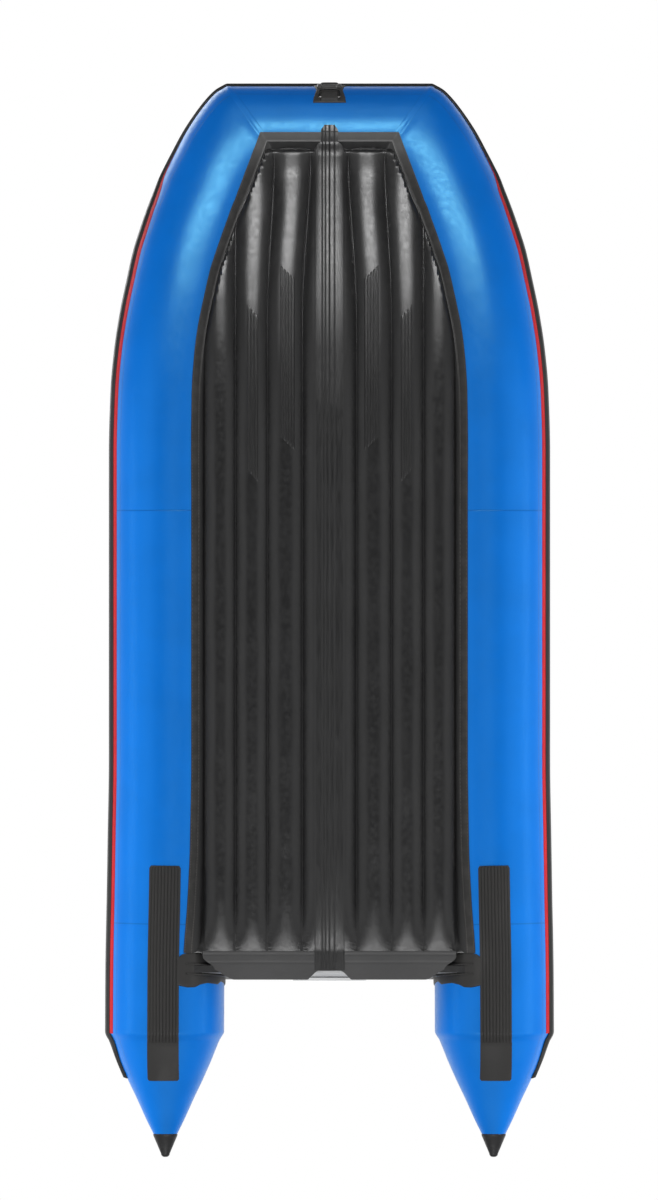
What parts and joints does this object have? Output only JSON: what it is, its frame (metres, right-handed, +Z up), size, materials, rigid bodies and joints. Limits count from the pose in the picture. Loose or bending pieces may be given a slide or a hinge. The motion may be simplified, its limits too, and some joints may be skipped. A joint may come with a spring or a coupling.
{
  "type": "inflatable boat",
  "caption": "Inflatable boat with air chambers in a U, channelled air floor, raked transom, sliding benches, swivelling rowlocks, valves and a rub strake.",
  "frame": {"origin": "on the ground below the middle of the boat, midway between the bow's front and the tails' ends", "axes": "-Y towards the bow, +X to port, +Z up"},
  "size_m": [1.589, 3.8, 0.6937],
  "materials": {
    "aluminium": "anodised, satin",
    "black_plastic": "black moulded plastic",
    "black_rubber": "grey-black moulded strip, matt",
    "floor_fabric": "black PVC-coated fabric, satin",
    "hull_fabric": "blue PVC-coated fabric, satin",
    "plywood": "varnished marine plywood",
    "red_band": "red PVC band, satin",
    "steel": "polished stainless steel"
  },
  "bodies": {
    "hull": {"bow_fitting_base": "black_plastic", "bow_tube": "hull_fabric", "carry_handle_aft_port": "black_rubber", "carry_handle_aft_starboard": "black_rubber", "carry_handle_fore_port": "black_rubber", "carry_handle_fore_starboard": "black_rubber", "chafe_strip_port": "black_rubber", "chafe_strip_starboard": "black_rubber", "chamber_baffle_port": "hull_fabric", "chamber_baffle_starboard": "hull_fabric", "floor_mattress": "floor_fabric", "floor_tape": "black_rubber", "keel_strip": "black_rubber", "motor_pad_inner": "black_plastic", "motor_pad_outer": "aluminium", "rowlock_pad_port": "black_rubber", "rowlock_pad_starboard": "black_rubber", "rowlock_socket_port": "black_plastic", "rowlock_socket_starboard": "black_plastic", "rub_strake_band": "red_band", "rub_strake_rail": "black_rubber", "scupper_body_port": "black_plastic", "scupper_body_starboard": "black_plastic", "seat_rail_port": "black_plastic", "seat_rail_starboard": "black_plastic", "side_tube_port": "hull_fabric", "side_tube_starboard": "hull_fabric", "stern_flap": "floor_fabric", "tail_cap_port": "black_plastic", "tail_cap_starboard": "black_plastic", "transom_board": "plywood", "transom_holder_port": "black_rubber", "transom_holder_starboard": "black_rubber", "valve_body_bow": "black_plastic", "valve_body_floor": "black_plastic", "valve_body_port": "black_plastic", "valve_body_starboard": "black_plastic", "wear_strip_inner_port": "black_rubber", "wear_strip_inner_starboard": "black_rubber", "wear_strip_outer_port": "black_rubber", "wear_strip_outer_starboard": "black_rubber"},
    "bench_fore": {"thwart_fore": "plywood", "seat_bracket_fore_port": "black_plastic", "seat_bracket_fore_starboard": "black_plastic"},
    "bench_aft": {"thwart_aft": "plywood", "seat_bracket_aft_port": "black_plastic", "seat_bracket_aft_starboard": "black_plastic"},
    "rowlock_port": {"rowlock_fork_port": "aluminium"},
    "scupper_flap_port": {"scupper_flap_port": "black_rubber"},
    "rowlock_starboard": {"rowlock_fork_starboard": "aluminium"},
    "scupper_flap_starboard": {"scupper_flap_starboard": "black_rubber"},
    "valve_cap_port": {"valve_cap_port": "black_plastic"},
    "valve_stem_port": {"valve_stem_port": "black_plastic"},
    "valve_cap_starboard": {"valve_cap_starboard": "black_plastic"},
    "valve_stem_starboard": {"valve_stem_starboard": "black_plastic"},
    "valve_cap_bow": {"valve_cap_bow": "black_plastic"},
    "valve_stem_bow": {"valve_stem_bow": "black_plastic"},
    "valve_cap_floor": {"valve_cap_floor": "black_plastic"},
    "valve_stem_floor": {"valve_stem_floor": "black_plastic"},
    "tow_ring": {"bow_tow_ring": "steel"}
  },
  "joints": [
    {"name": "bench_fore_slide", "type": "slide", "parent": "hull", "child": "bench_fore", "axis": [0, 1, 0], "range_m": [-0.1, 0.1]},
    {"name": "bench_aft_slide", "type": "slide", "parent": "hull", "child": "bench_aft", "axis": [0, 1, 0], "range_m": [-0.1, 0.1]},
    {"name": "rowlock_port_swivel", "type": "hinge", "parent": "hull", "child": "rowlock_port", "pos_m": [0.5676, -0.05, 0.41649], "axis": [0.0158, 0, 0.9999], "continuous": true},
    {"name": "scupper_flap_port_hinge", "type": "hinge", "parent": "hull", "child": "scupper_flap_port", "pos_m": [0.23998, 1.26326, 0.17827], "axis": [1, 0, 0], "range_deg": [0, 70], "stiffness_Nm_per_rad": 0.002},
    {"name": "rowlock_starboard_swivel", "type": "hinge", "parent": "hull", "child": "rowlock_starboard", "pos_m": [-0.5676, -0.05, 0.41649], "axis": [-0.0158, 0, 0.9999], "continuous": true},
    {"name": "scupper_flap_starboard_hinge", "type": "hinge", "parent": "hull", "child": "scupper_flap_starboard", "pos_m": [-0.23998, 1.26326, 0.17827], "axis": [1, 0, 0], "range_deg": [0, 70], "stiffness_Nm_per_rad": 0.002},
    {"name": "valve_cap_port_hinge", "type": "hinge", "parent": "hull", "child": "valve_cap_port", "pos_m": [0.4364, 0.65531, 0.38301], "axis": [-0.7995, 0.0121, -0.6006], "range_deg": [0, 150]},
    {"name": "valve_stem_port_push", "type": "slide", "parent": "hull", "child": "valve_stem_port", "axis": [0.6005, -0.0091, -0.7995], "range_m": [0, 0.004], "stiffness_N_per_m": 800},
    {"name": "valve_cap_starboard_hinge", "type": "hinge", "parent": "hull", "child": "valve_cap_starboard", "pos_m": [-0.43554, 0.59832, 0.38301], "axis": [0.7995, 0.0121, -0.6006], "range_deg": [0, 150]},
    {"name": "valve_stem_starboard_push", "type": "slide", "parent": "hull", "child": "valve_stem_starboard", "axis": [-0.6005, -0.0091, -0.7995], "range_m": [0, 0.004], "stiffness_N_per_m": 800},
    {"name": "valve_cap_bow_hinge", "type": "hinge", "parent": "hull", "child": "valve_cap_bow", "pos_m": [0.0787, -1.5327, 0.63844], "axis": [0, 0.6844, -0.7291], "range_deg": [0, 150]},
    {"name": "valve_stem_bow_push", "type": "slide", "parent": "hull", "child": "valve_stem_bow", "axis": [0, -0.7291, -0.6844], "range_m": [0, 0.004], "stiffness_N_per_m": 800},
    {"name": "valve_cap_floor_hinge", "type": "hinge", "parent": "hull", "child": "valve_cap_floor", "pos_m": [0.26069, 0.76, 0.13139], "axis": [0, 1, 0], "range_deg": [0, 150]},
    {"name": "valve_stem_floor_push", "type": "slide", "parent": "hull", "child": "valve_stem_floor", "axis": [0, 0, -1], "range_m": [0, 0.004], "stiffness_N_per_m": 800},
    {"name": "tow_ring_hinge", "type": "hinge", "parent": "hull", "child": "tow_ring", "pos_m": [0, -1.8546, 0.35123], "axis": [1, 0, 0], "range_deg": [0, 175]}
  ]
}
